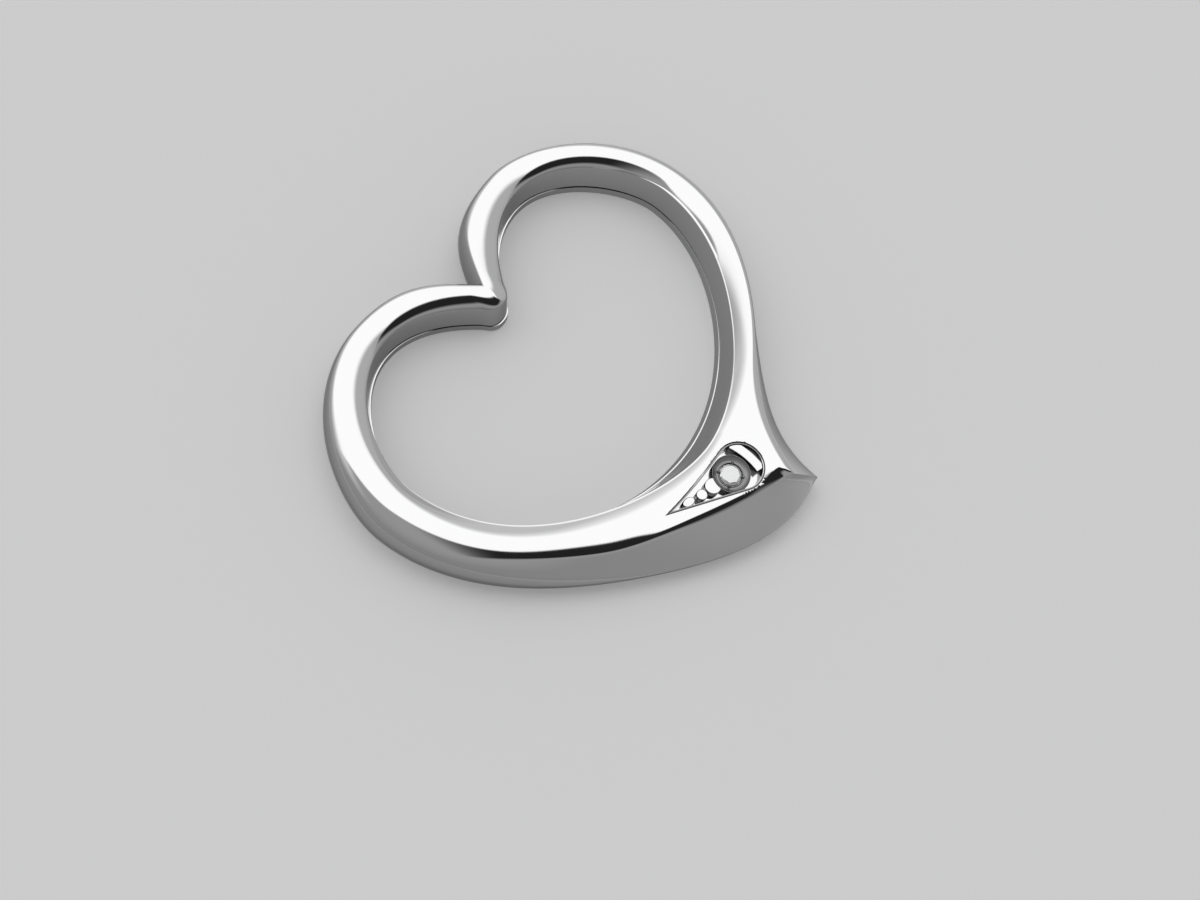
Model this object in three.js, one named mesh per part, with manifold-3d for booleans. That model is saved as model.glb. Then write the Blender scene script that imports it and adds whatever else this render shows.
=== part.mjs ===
import * as THREE from 'three';
import { mergeVertices } from 'three/addons/utils/BufferGeometryUtils.js';
import { ConvexGeometry } from 'three/addons/geometries/ConvexGeometry.js';
import Module from 'manifold-3d';

// An open heart pendant that lies on its flat back, in millimetres.
// +Z is up, +Y points to the cusp between the lobes and the swept tip points to -Y and +X.

// The opening at the back face. Its halves are mirror images about x = MIDDLE_X, and each is drawn as if
// it lay to the right: the cusp, a turn, the top of the lobe, the side and the bottom.
const MIDDLE_X = 0.4;
const OPENING = {
  cuspY: 5.36,
  turnX: 0.91,
  turnRise: 0.67,
  turnHeading: 50,
  lobeX: 4.72,
  lobeY: 8.2,
  halfWidth: 9.2,
  sideY: 3.44,
  bottomX: 0.1,
  bottomY: -4.55,
};
const OPENING_REACH = { cusp: 0.55, turnIn: 0.31, turnOut: 0.31, lobeIn: 0.38, lobeOut: 0.39, sideIn: 0.25 };
const OPENING_LOW_REACH = { side: 0.3, bottom: 0.41 };

// How far the upper rim of the inner wall stands back from the opening
const RIM_SETBACK = { cusp: 0.69, turn: 0.91, lobe: 0.55, side: 0.17, bottom: 0.69, bottomX: 0.2 };
const RIM_LOW_REACH = { side: 0.42, bottom: 0.24 };
const RIM_CUSP_HEADING = 40;

// The outer outline, as the width of the band outside the opening
const BAND_AT_CUSP = 1.76;
const RIGHT_BAND = {
  cuspHeading: 63,
  cuspReach: 0.48,
  lobe: 1.72,
  lobeShift: -0.18,
  lobeIn: 0.44,
  lobeOut: 0.25,
  side: 1.61,
  sideShift: -0.26,
  sideIn: 0.45,
  sideOut: 0.44,
};
const LEFT_BAND = {
  cuspHeading: 53,
  cuspReach: 0.41,
  lobe: 1.69,
  lobeShift: 0.49,
  lobeIn: 0.45,
  lobeOut: 0.42,
  side: 2.41,
  sideShift: -0.15,
  sideIn: 0.27,
  sideOut: 0.35,
};

// The two flanks that sweep to the tip, the root of the tip at the opening, and the tip itself
const RIGHT_FLANK = { x: 6.64, y: -4.19, heading: -136, into: 0.19, out: 0.45, tipHeading: -92, tipIn: 0.35 };
const LEFT_FLANK = { x: -5.17, y: -6.65, heading: -40, into: 0.34, out: 0.77, tipHeading: -3, tipIn: 0.13 };
const TIP = { x: 3.3, y: -9.94 };
const TIP_ROOT_X = 0.9;
const TIP_ROOT_SPREAD = 0.45;

// The crease between the top and the side of each flank, from the side of the heart to the tip's corner
const CREASE_CORNER = { x: 2.21, y: -8.97 };
const RIGHT_CREASE = {
  start: { x: 10.7, y: 3.26, heading: -90, out: 0.39 },
  middle: { x: 5.52, y: -4.43, heading: -140, into: 0.3, out: 0.4 },
  corner: { heading: -109, into: 0.37 },
};
const LEFT_CREASE = {
  start: { x: -11.31, y: 1.79, heading: -90, out: 0.07 },
  middle: { x: -6.09, y: -4.47, heading: -42, into: 0.28, out: 0.27 },
  corner: { heading: -25, into: 0.3 },
};

// Heights of the band's section above the back face
const CREST_HEIGHT = 2.1;
const WIDEST_HEIGHT = 0.9;
const WALL_HEIGHT = 1.75;
const RIM_HEIGHT = { side: 1.9, right: 1.58, left: 1.98, tip: 2.0 };
const CREASE_DROP = { right: 0.06, left: 0.15, facet: 0.05, tip: 0.06 };

// Shares, roundness and slopes of the band's section
const CREST_SHARE = { cusp: 0.6, lobe: 0.74, rightSide: 0.64, leftSide: 0.27, right: 0.7, left: 0.35, tip: 0.1 };
const DOME_POWER = 2.5;
const SHOULDER_POWER = 1.7;
const WALL_LEAN = 0.28;
const RIM_POWER = 1.55;
const CREASE_SLOPE = { flank: 0.3, facet: 0.1 };
const SIDE_SLOPE = 1.15;

// The flat cut along the left crease, which widens below the head of the recess
const FACET = { slope: 0.24, narrow: 0.22, wide: 0.68, edge: 0.03 };

const SOFTEST_CREASE = 1.5;
const STRAIGHTEST_SIDE = 0.9;
const DOME_EDGE = { lobe: 0.6, least: 0.4, most: 0.85 };
const LOBE_CREASE_SHARE = 0.75;
const RIM_RADIUS = 0.12;
const RIM_ROLL = 0.94;
const RIM_TURN = 0.3;
const WALL_FOOT_SHARE = 0.88;
const EDGE_RADIUS = 0.06;
const BACK_INSET = 0.4;

// Where the stretches of each half lie between the cusp, 0, and the tip, 1
const LOBE_TOP_AT = 0.2;
const SIDE_AT = 0.5;
const FLANK_AT = 0.75;
const FACET_AT = { from: 0.76, to: 0.86, widens: 0.925, end: 0.985 };
const ROUND_UNTIL = { from: 0.25, to: 0.62 };
const CREASE_FROM = { right: 0.7, left: 0.55 };
const CREASE_FULL = { right: 1, left: 0.8 };

// The hollow and its closing plate
const WALL = 0.4;
const PLATE_THICKNESS = 0.4;
const SEAM = 0.03;
const PLATE_LIP = 0.05;

// The pear-shaped recess, seen from above
const PEAR = { tailX: -3.05, tailY: -5.6, headX: 0.9, headY: -6.88, headRadius: 1.12, bow: 0.16 };
const FIT = 0.03;
const CUP_RIM = 0.06;
const RECESS_FLOOR = 1.62;

// The stone, and the funnel-shaped ring round it with its low lip and claws. Heights are above the floor.
const STONE = { x: 0.43, y: -6.77, radius: 0.5, tableRadius: 0.4, crown: 0.05, girdle: 0.03, pavilion: 0.4 };
const STONE_SHARE = { crownRadius: 0.5, crownHeight: 0.56, pavilionRadius: 0.45, pavilionDepth: 0.6 };
const GIRDLE_RISE = 0.18;
const RING_HEIGHT = 0.32;
const RING_EDGE = 0.02;
const GROOVE_DEPTH = 0.16;
const FUNNEL_SHARE = { radius: 0.7, height: 0.5 };
const LIP = { width: 0.05, rise: 0.05 };
const CLAW = { radius: 0.07, tallness: 1.3, overhang: 0.3, rise: 0.03 };
const CLAW_COUNT = 4;

// The bent bar and the grains of the tail. Heights are above the recess floor.
const BAR = { gap: 0.09, width: 0.43, bend: 3.1, spread: 15, turn: -3, height: 0.4, edge: 0.03 };
const LARGE_GRAIN = { x: -0.57, y: -6.46, radius: 0.36, height: 0.38, stretch: 1 };
const BEAD = { x: -1.22, y: -6.3, radius: 0.25, height: 0.38, stretch: 1 };
const SMALL_GRAIN = { x: -1.86, y: -6.04, radius: 0.2, height: 0.36, stretch: 1.5 };
const GRAIN_EDGE = 0.04;
const GRAIN_CROWN = 0.01;

// Fineness of the curved surfaces: the stations of each stretch, and the steps of a section
const FINE = { lobeInside: 13, lobeOutside: 13, flank: 24, under: 3, side: 6, top: 4, inner: 4, wall: 2 };
const COARSE = { lobeInside: 6, lobeOutside: 6, flank: 10, under: 3, side: 2, top: 1, inner: 2, wall: 2 };
const PEAR_STEPS = 12;
const ROUND_STEPS = 32;
const GRAIN_STEPS = 20;
const EDGE_STEPS = 3;
const CLAW_STEPS = 12;

// How far the cutting bodies run past what they cut
const PAST = 1;

const wasm = await Module();
wasm.setup();

const radians = THREE.MathUtils.degToRad;
const ease = THREE.MathUtils.smoothstep;
const mix = THREE.MathUtils.lerp;
const vec = (x, y) => new THREE.Vector2(x, y);
const between = (from, to, share) => from.clone().lerp(to, share);

// Turns a closed geometry into a solid that can be joined and cut.
function solid(geometry) {
  geometry.deleteAttribute('normal');
  geometry.deleteAttribute('uv');
  const merged = mergeVertices(geometry, 1e-4);
  return new wasm.Manifold(new wasm.Mesh({
    numProp: 3,
    vertProperties: merged.attributes.position.array,
    triVerts: new Uint32Array(merged.index.array),
  }));
}

// Turns a solid back into a geometry.
function geometryOf(body) {
  const mesh = body.getMesh();
  const geometry = new THREE.BufferGeometry();
  geometry.setAttribute('position', new THREE.BufferAttribute(new Float32Array(mesh.vertProperties), 3));
  geometry.setIndex(new THREE.BufferAttribute(new Uint32Array(mesh.triVerts), 1));
  const faceted = geometry.toNonIndexed();
  faceted.computeVertexNormals();
  return faceted;
}

// A path of cubic curves through knots. A knot has a place, a heading in degrees, and the share of the
// distance to its neighbours that its two handles take.
function path(...knots) {
  const made = new THREE.CurvePath();
  for (let i = 0; i < knots.length - 1; i++) {
    const from = knots[i];
    const to = knots[i + 1];
    const start = vec(from.x, from.y);
    const end = vec(to.x, to.y);
    const reach = start.distanceTo(end);
    const first = vec(Math.cos(radians(from.heading)), Math.sin(radians(from.heading)));
    const last = vec(Math.cos(radians(to.heading)), Math.sin(radians(to.heading)));
    made.add(new THREE.CubicBezierCurve(
      start,
      start.clone().addScaledVector(first, reach * from.out),
      end.clone().addScaledVector(last, -reach * to.into),
      end,
    ));
  }
  return made;
}

// The opening's line, or the rim above it, of one half. The lower stretch runs from the widest place to
// the bottom, and the two sides end there a little apart.
function innerGuide(setback, cuspHeading, lowReach) {
  const cusp = { x: 0, y: OPENING.cuspY + setback.cusp, heading: cuspHeading, out: OPENING_REACH.cusp };
  const turn = {
    x: OPENING.turnX,
    y: OPENING.cuspY + OPENING.turnRise + setback.turn,
    heading: OPENING.turnHeading,
    into: OPENING_REACH.turnIn,
    out: OPENING_REACH.turnOut,
  };
  const top = { x: OPENING.lobeX, y: OPENING.lobeY + setback.lobe, heading: 0 };
  const widest = { x: OPENING.halfWidth + setback.side, y: OPENING.sideY, heading: -90 };
  const low = (way) => path({ ...widest, out: lowReach.side }, {
    x: way * (OPENING.bottomX + setback.bottomX),
    y: OPENING.bottomY - setback.bottom,
    heading: 180,
    into: lowReach.bottom,
  });
  return {
    first: path(cusp, turn, { ...top, into: OPENING_REACH.lobeIn }),
    second: path({ ...top, out: OPENING_REACH.lobeOut }, { ...widest, into: OPENING_REACH.sideIn }),
    right: low(1),
    left: low(-1),
  };
}

// Puts a place drawn for the right half on its own side of the middle.
const placed = (p, side) => vec(MIDDLE_X + side * p.x, p.y);

function upperPoint(guide, side, t) {
  const p = t > LOBE_TOP_AT
    ? guide.second.getPoint((t - LOBE_TOP_AT) / (SIDE_AT - LOBE_TOP_AT))
    : guide.first.getPoint(t / LOBE_TOP_AT);
  return placed(p, side);
}

// The root of the tip lies to the right of the middle, so the right side stops short of the middle
// and the left side runs past it.
function innerPoint(guide, side, t) {
  if (t <= SIDE_AT) return upperPoint(guide, side, t);
  const share = (t - SIDE_AT) / (1 - SIDE_AT);
  const own = side > 0 ? guide.right : guide.left;
  const other = side > 0 ? guide.left : guide.right;
  const spread = side < 0 ? share + TIP_ROOT_SPREAD * share * (1 - share) : share;
  const along = spread * (own.getLength() - side * TIP_ROOT_X);
  if (along <= own.getLength()) return placed(own.getPoint(along / own.getLength()), side);
  const past = along - own.getLength();
  return placed(other.getPoint((other.getLength() - past) / other.getLength()), -side);
}

// The outer outline of one side, from the cusp round its lobe and down its flank to the tip.
function outerGuide(side) {
  const width = side > 0 ? RIGHT_BAND : LEFT_BAND;
  const flank = side > 0 ? RIGHT_FLANK : LEFT_FLANK;
  const cusp = { x: 0, y: OPENING.cuspY + BAND_AT_CUSP, heading: width.cuspHeading, out: width.cuspReach };
  const top = { x: OPENING.lobeX + width.lobeShift, y: OPENING.lobeY + width.lobe, heading: 0 };
  const widest = { x: OPENING.halfWidth + width.side, y: OPENING.sideY + width.sideShift, heading: -90 };
  return {
    first: path(cusp, { ...top, into: width.lobeIn }),
    second: path({ ...top, out: width.lobeOut }, { ...widest, into: width.sideIn }),
    low: path(
      { ...widest, x: MIDDLE_X + side * widest.x, out: width.sideOut },
      flank,
      { ...TIP, heading: flank.tipHeading, into: flank.tipIn },
    ),
  };
}

function outerPoint(guide, side, t) {
  if (t <= SIDE_AT) return upperPoint(guide, side, t);
  return guide.low.getPoint((t - SIDE_AT) / (1 - SIDE_AT));
}

// How the section changes from the cusp round to the tip.
function formAt(side, t) {
  const flank = side > 0 ? 'right' : 'left';
  const toLobe = ease(t, 0, LOBE_TOP_AT);
  const toSide = ease(t, LOBE_TOP_AT, SIDE_AT);
  const toFlank = ease(t, SIDE_AT, FLANK_AT);
  const toTip = ease(t, FLANK_AT, 1);
  const toFacet = side < 0 ? ease(t, FACET_AT.from, FACET_AT.to) : 0;
  const toWide = side < 0 ? ease(t, FACET_AT.widens, FACET_AT.end) : 0;
  const pastFacet = side < 0 ? ease(t, FACET_AT.end, 1) : toTip;
  const lobeShare = mix(CREST_SHARE.cusp, CREST_SHARE.lobe, toLobe);
  const sideShare = mix(lobeShare, side > 0 ? CREST_SHARE.rightSide : CREST_SHARE.leftSide, toSide);
  return {
    crest: mix(mix(sideShare, CREST_SHARE[flank], toFlank), CREST_SHARE.tip, toTip),
    rim: mix(mix(RIM_HEIGHT.side, RIM_HEIGHT[flank], toFlank), RIM_HEIGHT.tip, toTip),
    drop: mix(mix(CREASE_DROP[flank], CREASE_DROP.facet, toFacet), CREASE_DROP.tip, pastFacet),
    slope: mix(CREASE_SLOPE.flank, CREASE_SLOPE.facet, toFacet),
    facet: mix(FACET.narrow * toFacet, FACET.wide, toWide) * (1 - pastFacet),
    crease: ease(t, CREASE_FROM[flank], CREASE_FULL[flank]),
    roundness: 1 - ease(t, ROUND_UNTIL.from, ROUND_UNTIL.to),
  };
}

// How far the cut along the crease lies below the top, at a distance from the crease.
function facetDrop(distance, width) {
  if (width === 0) return 0;
  const past = width - distance;
  return FACET.slope * (past + Math.hypot(past, FACET.edge)) / 2;
}

// The outside of the band at one station, as points with a plan place and a height. It starts at the
// outer edge of the back face, climbs over the crest, and ends at the opening. An inset moves every wall
// inwards, which makes the hollow.
function section(side, t, guides, inset, base, steps) {
  const form = formAt(side, t);
  const floor = innerPoint(guides.floor, side, t);
  const rim = innerPoint(guides.rim, side, t);
  const outer = outerPoint(guides.outer, side, t);
  const crease = t > SIDE_AT
    ? guides.crease.getPoint((t - SIDE_AT) / (1 - SIDE_AT))
    : between(rim, outer, LOBE_CREASE_SHARE);
  const across = outer.clone().sub(floor).normalize();
  if (inset > 0) {
    const rimShare = rim.distanceTo(floor) / outer.distanceTo(floor);
    const creaseShare = crease.distanceTo(floor) / outer.distanceTo(floor);
    floor.addScaledVector(across, inset);
    outer.addScaledVector(across, -inset);
    rim.lerpVectors(floor, outer, rimShare);
    crease.lerpVectors(floor, outer, creaseShare);
  }
  const crestZ = CREST_HEIGHT - inset;
  const wallZ = WALL_HEIGHT - inset;
  const rimZ = form.rim - inset;
  const creaseZ = crestZ - form.drop - facetDrop(0, form.facet);
  const crest = between(rim, outer, form.crest).lerp(between(rim, crease, form.crest), form.crease);
  const half = crest.distanceTo(outer);
  const topWidth = crest.distanceTo(crease);
  const flankEdge = THREE.MathUtils.clamp(topWidth / half, DOME_EDGE.least, DOME_EDGE.most);
  const edge = mix(DOME_EDGE.lobe, flankEdge, ease(t, SIDE_AT, ROUND_UNTIL.to));
  const power = Math.max(SOFTEST_CREASE, (topWidth * form.slope) / form.drop);
  const fall = creaseZ - WIDEST_HEIGHT;
  const straight = Math.min(STRAIGHTEST_SIDE, (SIDE_SLOPE * crease.distanceTo(outer)) / fall);
  const domeZ = (s) => mix(WIDEST_HEIGHT, crestZ, Math.max(0, 1 - s ** DOME_POWER) ** (1 / DOME_POWER));
  const points = [];

  // Under the widest place, down to the back face
  const under = Math.min(BACK_INSET, half) / half;
  for (let i = 0; i < steps.under; i++) {
    const turn = (i / steps.under) * Math.PI / 2;
    const z = mix(base, WIDEST_HEIGHT, 1 - Math.cos(turn));
    points.push([between(outer, crest, under * (1 - Math.sin(turn))), z]);
  }

  // Up the outer side: a round form on the lobes turns into a flatter side below a crease on the flanks
  for (let i = 0; i < steps.side; i++) {
    const share = Math.cos((i / steps.side) * Math.PI / 2);
    const s = mix(edge, 1, share);
    const bulge = 1 - Math.sqrt(Math.max(0, 1 - share * share));
    const creasedZ = creaseZ - fall * mix(bulge, share, straight);
    const creasedAt = between(crease, outer, share);
    points.push([between(crest, outer, s).lerp(creasedAt, form.crease), mix(domeZ(s), creasedZ, form.crease)]);
  }

  // Over the top to the crest
  for (let i = 0; i < steps.top; i++) {
    const share = 1 - i / steps.top;
    const creasedZ = crestZ - form.drop * share ** power - facetDrop((1 - share) * topWidth, form.facet);
    const at = between(crest, outer, edge * share).lerp(between(crest, crease, share), form.crease);
    points.push([at, mix(domeZ(edge * share), creasedZ, form.crease)]);
  }

  // Down the inner side, as a crisp rim above a straight wall
  const wallTop = rimZ - RIM_RADIUS;
  const wallShare = RIM_RADIUS;
  const crisp = [];
  for (let i = 0; i <= steps.inner; i++) {
    const share = (i / steps.inner) * RIM_ROLL;
    crisp.push([between(crest, rim, share), crestZ - (crestZ - rimZ) * share ** RIM_POWER]);
  }
  crisp.push([rim.clone(), rimZ - RIM_TURN * RIM_RADIUS]);
  for (let i = 0; i < steps.wall; i++) {
    const share = i / steps.wall;
    crisp.push([between(rim, floor, mix(wallShare, WALL_FOOT_SHARE, share)), mix(wallTop, base, share)]);
  }

  // On the lobes it is blended into a round shoulder above a leaning wall
  const shelf = floor.clone().addScaledVector(across, WALL_LEAN);
  const shoulder = steps.inner + 2;
  crisp.forEach(([at, z], i) => {
    const turn = Math.min(1, i / shoulder) * Math.PI / 2;
    const down = Math.max(0, i - shoulder) / steps.wall;
    const shoulderZ = mix(wallZ, crestZ, Math.max(0, Math.cos(turn)) ** (2 / SHOULDER_POWER));
    const roundAt = between(crest, shelf, Math.sin(turn) ** (2 / SHOULDER_POWER)).lerp(floor, down);
    const roundZ = mix(shoulderZ, base + EDGE_RADIUS, down);
    points.push([at.lerp(roundAt, form.roundness), mix(z, roundZ, form.roundness)]);
  });
  points.push([floor.clone(), base + EDGE_RADIUS]);
  points.push([floor.clone().addScaledVector(across, EDGE_RADIUS), base]);
  return points;
}

function stationList(steps) {
  const stretches = [
    [0, LOBE_TOP_AT, steps.lobeInside],
    [LOBE_TOP_AT, SIDE_AT, steps.lobeOutside],
    [SIDE_AT, 1, steps.flank],
  ];
  return stretches.flatMap(([from, to, count]) => (
    Array.from({ length: count }, (_, i) => mix(from, to, i / count))
  ));
}

// Sweeps the section round the heart and closes it on itself.
function band({ inset = 0, base = 0, lip = 0, steps = FINE } = {}) {
  const atFoot = { cusp: -lip, turn: -lip, lobe: -lip, side: -lip, bottom: -lip, bottomX: 0 };
  const guidesOf = (side) => {
    const { start, middle, corner } = side > 0 ? RIGHT_CREASE : LEFT_CREASE;
    return {
      floor: innerGuide(atFoot, 0, OPENING_LOW_REACH),
      rim: innerGuide(RIM_SETBACK, RIM_CUSP_HEADING, RIM_LOW_REACH),
      outer: outerGuide(side),
      crease: path(start, middle, { ...CREASE_CORNER, ...corner }),
    };
  };
  const right = guidesOf(1);
  const left = guidesOf(-1);
  const stations = stationList(steps);
  const rings = [...stations, 1].map((t) => section(1, t, right, inset, base, steps));
  for (const t of stations.slice(1).reverse()) rings.push(section(-1, t, left, inset, base, steps));
  const around = rings[0].length;
  const positions = rings.flatMap((ring) => ring.flatMap(([at, z]) => [at.x, at.y, z]));
  const index = [];
  for (let i = 0; i < rings.length; i++) {
    const next = (i + 1) % rings.length;
    for (let j = 0; j < around; j++) {
      const k = (j + 1) % around;
      const a = i * around + j;
      const b = next * around + j;
      const c = next * around + k;
      const d = i * around + k;
      index.push(a, c, b, a, d, c);
    }
  }
  const geometry = new THREE.BufferGeometry();
  geometry.setAttribute('position', new THREE.Float32BufferAttribute(positions, 3));
  geometry.setIndex(index);
  return solid(geometry);
}

// A block that holds everything between two heights.
function slab(low, high) {
  const size = 4 * (OPENING.halfWidth + LEFT_BAND.side);
  const box = new THREE.BoxGeometry(size, size, high - low);
  box.translate(0, 0, (low + high) / 2);
  return solid(box);
}

// The pear outline, drawn in by an inset: a round head and two long edges that meet at the tail.
function pearPoints(inset) {
  const tail = vec(PEAR.tailX, PEAR.tailY);
  const head = vec(PEAR.headX, PEAR.headY);
  const axis = head.clone().sub(tail);
  const length = axis.length();
  axis.normalize();
  const side = vec(-axis.y, axis.x);
  const lean = Math.asin(PEAR.headRadius / length);
  const radius = PEAR.headRadius - inset;
  const point = tail.clone().addScaledVector(axis, inset / Math.sin(lean));
  const headAt = (angle) => head.clone()
    .addScaledVector(axis, radius * Math.cos(angle))
    .addScaledVector(side, radius * Math.sin(angle));
  const open = Math.PI / 2 + lean;
  const points = [];
  for (let i = 0; i <= PEAR_STEPS; i++) points.push(headAt(-open + (2 * open * i) / PEAR_STEPS));
  const upper = new THREE.QuadraticBezierCurve(
    headAt(open),
    headAt(open).lerp(point, 0.5).addScaledVector(side, -PEAR.bow),
    point,
  );
  const upperSteps = PEAR_STEPS / 2;
  for (let i = 1; i < upperSteps; i++) points.push(upper.getPoint(i / upperSteps));
  points.push(point);
  return points;
}

// The widest round body about the stone that stays inside the pear.
function reachFromStone() {
  const stone = new THREE.Vector3(STONE.x, STONE.y, 0);
  const corners = pearPoints(0).map((p) => new THREE.Vector3(p.x, p.y, 0));
  return Math.min(...corners.map((corner, i) => {
    const edge = new THREE.Line3(corner, corners[(i + 1) % corners.length]);
    return edge.closestPointToPoint(stone, true, new THREE.Vector3()).distanceTo(stone);
  }));
}

// A straight-sided body on the pear outline.
function pearBody(inset, low, high) {
  const shape = new THREE.Shape(pearPoints(inset));
  const body = new THREE.ExtrudeGeometry(shape, { depth: high - low, bevelEnabled: false, steps: 1 });
  body.translate(0, 0, low);
  return solid(body);
}

// A body turned round an upright axis.
function turned(profile, { x, y } = STONE, steps = ROUND_STEPS, stretch = 1, turn = 0) {
  const lathe = new THREE.LatheGeometry(profile.map(([r, z]) => vec(r, z)), steps);
  lathe.rotateX(Math.PI / 2);
  lathe.scale(stretch, 1, 1);
  lathe.rotateZ(turn);
  lathe.translate(x, y, 0);
  return solid(lathe);
}

const column = (radius, low, high) => turned([[0, low], [radius, low], [radius, high], [0, high]]);

const pearTurn = Math.atan2(PEAR.headY - PEAR.tailY, PEAR.headX - PEAR.tailX);
const recessInset = CUP_RIM + 2 * FIT;
const recessFoot = RECESS_FLOOR + FIT;
const girdleHeight = RECESS_FLOOR + GIRDLE_RISE;
const pavilionFoot = girdleHeight - STONE.girdle - STONE.pavilion;
const boreRadius = STONE.radius + FIT;
const ringRadius = reachFromStone() - recessInset;
const insideRecess = pearBody(recessInset, recessFoot, CREST_HEIGHT + PAST);
const besideRing = column(ringRadius + FIT, RECESS_FLOOR, CREST_HEIGHT + PAST);
const outerBody = band();
const hollow = band({ inset: WALL, base: -WALL, steps: COARSE });

function makeFrontShell() {
  return outerBody
    .intersect(slab(PLATE_THICKNESS + SEAM, CREST_HEIGHT + PAST))
    .subtract(hollow)
    .subtract(pearBody(0, PLATE_THICKNESS, CREST_HEIGHT + PAST));
}

function makeBackPlate() {
  return band({ lip: PLATE_LIP }).intersect(slab(-PAST, PLATE_THICKNESS));
}

// The cup stands on the back plate, its edge follows the top of the band, and its bore clears the stone.
function makeSettingCup() {
  return pearBody(FIT, PLATE_THICKNESS + SEAM, CREST_HEIGHT + PAST)
    .intersect(outerBody)
    .subtract(pearBody(FIT + CUP_RIM, RECESS_FLOOR, CREST_HEIGHT + PAST))
    .subtract(column(boreRadius, pavilionFoot - 2 * FIT, RECESS_FLOOR + FIT));
}

// A funnel that slopes down to a low lip round the stone. Four claws reach over the girdle.
function makeColletRing() {
  const top = RECESS_FLOOR + RING_HEIGHT;
  const groove = top - GROOVE_DEPTH;
  const lipRadius = boreRadius + LIP.width;
  const funnel = [
    mix(lipRadius, ringRadius, FUNNEL_SHARE.radius),
    mix(groove, top, FUNNEL_SHARE.height),
  ];
  let ring = turned([
    [boreRadius, recessFoot],
    [ringRadius, recessFoot],
    [ringRadius, top - RING_EDGE / 2],
    [ringRadius - RING_EDGE / 2, top],
    [ringRadius - RING_EDGE, top],
    funnel,
    [lipRadius, groove],
    [lipRadius, groove + LIP.rise],
    [boreRadius, groove + LIP.rise],
    [boreRadius, recessFoot],
  ]);
  const reach = boreRadius + CLAW.overhang * CLAW.radius;
  for (let i = 0; i < CLAW_COUNT; i++) {
    const angle = pearTurn + ((i + 0.5) / CLAW_COUNT) * 2 * Math.PI;
    const claw = new THREE.SphereGeometry(CLAW.radius, CLAW_STEPS, CLAW_STEPS);
    claw.rotateX(Math.PI / 2);
    claw.scale(1, 1, CLAW.tallness);
    claw.translate(
      STONE.x + reach * Math.cos(angle),
      STONE.y + reach * Math.sin(angle),
      girdleHeight + CLAW.rise,
    );
    ring = ring.add(solid(claw));
  }
  return ring
    .intersect(slab(recessFoot, CREST_HEIGHT + PAST))
    .subtract(makeStone(FIT / 2));
}

// A brilliant cut: an eight-sided table, a sixteen-sided girdle and a pointed pavilion.
function makeStone(grow = 0) {
  const points = [];
  const circle = (count, radius, z, offset) => {
    for (let i = 0; i < count; i++) {
      const angle = pearTurn + ((i + offset) / count) * 2 * Math.PI;
      points.push(new THREE.Vector3(STONE.x + radius * Math.cos(angle), STONE.y + radius * Math.sin(angle), z));
    }
  };
  const lowGirdle = girdleHeight - STONE.girdle;
  const radius = STONE.radius + grow;
  const kiteRadius = mix(STONE.tableRadius, STONE.radius, STONE_SHARE.crownRadius) + grow;
  circle(8, STONE.tableRadius + grow, girdleHeight + STONE.crown + grow, 0);
  circle(8, kiteRadius, girdleHeight + STONE.crown * STONE_SHARE.crownHeight + grow, 0.5);
  circle(16, radius, girdleHeight + grow / 2, 0);
  circle(16, radius, lowGirdle - grow / 2, 0);
  circle(8, radius * STONE_SHARE.pavilionRadius, lowGirdle - STONE.pavilion * STONE_SHARE.pavilionDepth - grow, 0.5);
  points.push(new THREE.Vector3(STONE.x, STONE.y, lowGirdle - STONE.pavilion - grow));
  return solid(new ConvexGeometry(points));
}

// A gently bent bar with a flat top between the ring and the head of the recess.
function makeHeadBar() {
  const back = ringRadius + BAR.gap - BAR.bend;
  const x = STONE.x + back * Math.cos(radians(BAR.turn));
  const y = STONE.y + back * Math.sin(radians(BAR.turn));
  const shape = new THREE.Shape();
  const from = radians(BAR.turn - BAR.spread);
  const to = radians(BAR.turn + BAR.spread);
  shape.absarc(x, y, BAR.bend + BAR.width, from, to, false);
  shape.absarc(x, y, BAR.bend, to, from, true);
  const block = new THREE.ExtrudeGeometry(shape, {
    depth: BAR.height - FIT - BAR.edge,
    bevelEnabled: true,
    bevelThickness: BAR.edge,
    bevelSize: BAR.edge,
    bevelOffset: -BAR.edge,
    bevelSegments: 2,
    curveSegments: PEAR_STEPS,
  });
  block.translate(0, 0, recessFoot);
  return solid(block).intersect(insideRecess);
}

// A low button with an upright side, a rounded edge and a faintly crowned top. It is hollowed where the
// ring passes it, and kept clear of the recess's edge.
function makeGrain({ x, y, radius, height, stretch }) {
  const top = RECESS_FLOOR + height;
  const profile = [[0, recessFoot], [radius, recessFoot]];
  for (let i = 0; i <= EDGE_STEPS; i++) {
    const turn = (i / EDGE_STEPS) * Math.PI / 2;
    profile.push([
      radius - GRAIN_EDGE * (1 - Math.cos(turn)),
      top - GRAIN_CROWN - GRAIN_EDGE * (1 - Math.sin(turn)),
    ]);
  }
  profile.push([0, top]);
  return turned(profile, { x, y }, GRAIN_STEPS, stretch, pearTurn)
    .subtract(besideRing)
    .intersect(insideRecess);
}

const polishedSilver = { color: 0xd9dadb, metalness: 1, roughness: 0.08 };
const satinSilver = { color: 0xbfc0c2, metalness: 1, roughness: 0.25 };
const clearStone = { color: 0xf4f7fa, metalness: 0, roughness: 0.02 };

const pendant = new THREE.Group();

function addPiece(name, body, look) {
  const mesh = new THREE.Mesh(geometryOf(body), new THREE.MeshStandardMaterial(look));
  mesh.name = name;
  pendant.add(mesh);
}

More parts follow.
